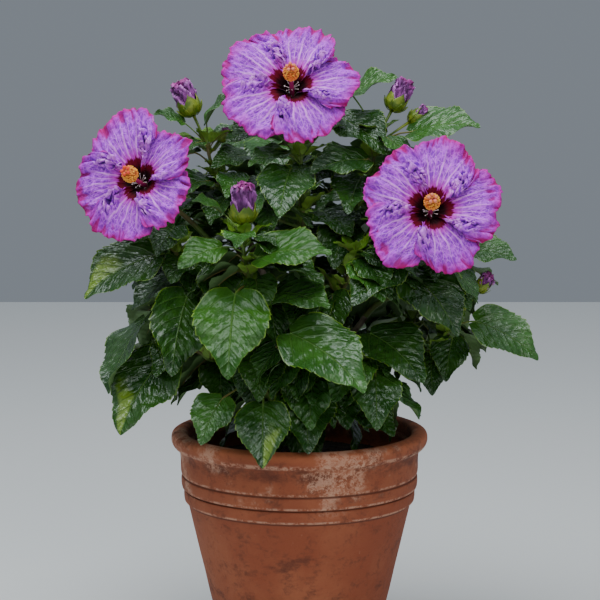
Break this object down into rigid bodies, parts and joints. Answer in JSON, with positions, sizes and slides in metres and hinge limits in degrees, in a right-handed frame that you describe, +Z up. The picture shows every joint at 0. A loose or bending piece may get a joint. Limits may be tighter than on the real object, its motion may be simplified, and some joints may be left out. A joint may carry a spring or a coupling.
{
  "type": "potted hibiscus shrub",
  "caption": "Bushy hibiscus shrub with broad toothed leaves and large ruffled blooms, growing in a round terracotta pot with a rolled rim and beads.",
  "frame": {"origin": "centre of the pot's underside, on the ground", "axes": "+Z up along the pot's axis, -Y towards the front that the blooms face, +X to the right seen from there"},
  "size_m": [0.5196, 0.4277, 0.7324],
  "materials": {
    "terracotta": "matte",
    "soil": "matte",
    "wood": "matte",
    "leaves": "gloss",
    "petals": "matte"
  },
  "bodies": {
    "root": {"pot": "terracotta", "soil": "soil", "trunk": "wood", "bough_front_right": "wood", "bough_low_left": "wood", "bough_low_right": "wood", "bough_back_left_low": "wood", "bough_back_right_low": "wood", "bough_front": "wood", "bough_centre_right": "wood", "bough_left": "wood", "bough_right": "wood", "bough_back_left_high": "wood", "bough_back_right_high": "wood", "bough_left_bloom": "wood", "bough_right_bloom": "wood", "bough_upper_left": "wood", "bough_upper_right": "wood", "bough_centre": "wood", "bough_back_top": "wood", "bough_top_bloom": "wood", "bloom_left": "petals", "bloom_right": "petals", "bloom_top": "petals", "foliage_front_low": "leaves", "foliage_front_middle": "leaves", "foliage_front_right": "leaves", "foliage_back_low": "leaves", "foliage_low_left": "leaves", "foliage_low_right": "leaves", "foliage_back_left_low": "leaves", "foliage_back_right_low": "leaves", "foliage_front": "leaves", "foliage_centre_right": "leaves", "foliage_left": "leaves", "foliage_right": "leaves", "foliage_back_left_high": "leaves", "foliage_back_right_high": "leaves", "foliage_upper_left": "leaves", "foliage_upper_right": "leaves", "foliage_centre": "leaves", "foliage_back_top": "leaves"}
  },
  "joints": []
}
